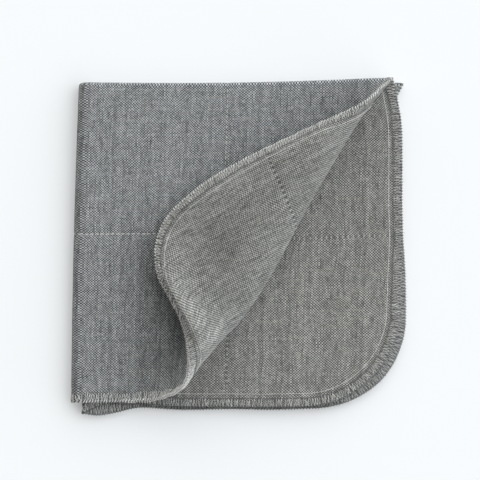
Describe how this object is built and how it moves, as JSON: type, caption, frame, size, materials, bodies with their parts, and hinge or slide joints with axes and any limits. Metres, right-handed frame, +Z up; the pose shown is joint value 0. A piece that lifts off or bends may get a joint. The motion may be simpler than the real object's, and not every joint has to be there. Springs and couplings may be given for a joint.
{
  "type": "face towel",
  "caption": "Square gauze face towel with round corners and an overlocked edge, folded in quarters with its upper corner turned back.",
  "frame": {"origin": "middle of the folded towel's outline, on the surface it lies on", "axes": "+X from the single left fold towards the round corner's side, +Y towards the far double fold, +Z up from the surface"},
  "size_m": [0.1716, 0.173, 0.0315],
  "materials": {
    "gauze": "matt open plain weave, mid grey"
  },
  "bodies": {
    "root": {"towel": "gauze"}
  },
  "joints": []
}
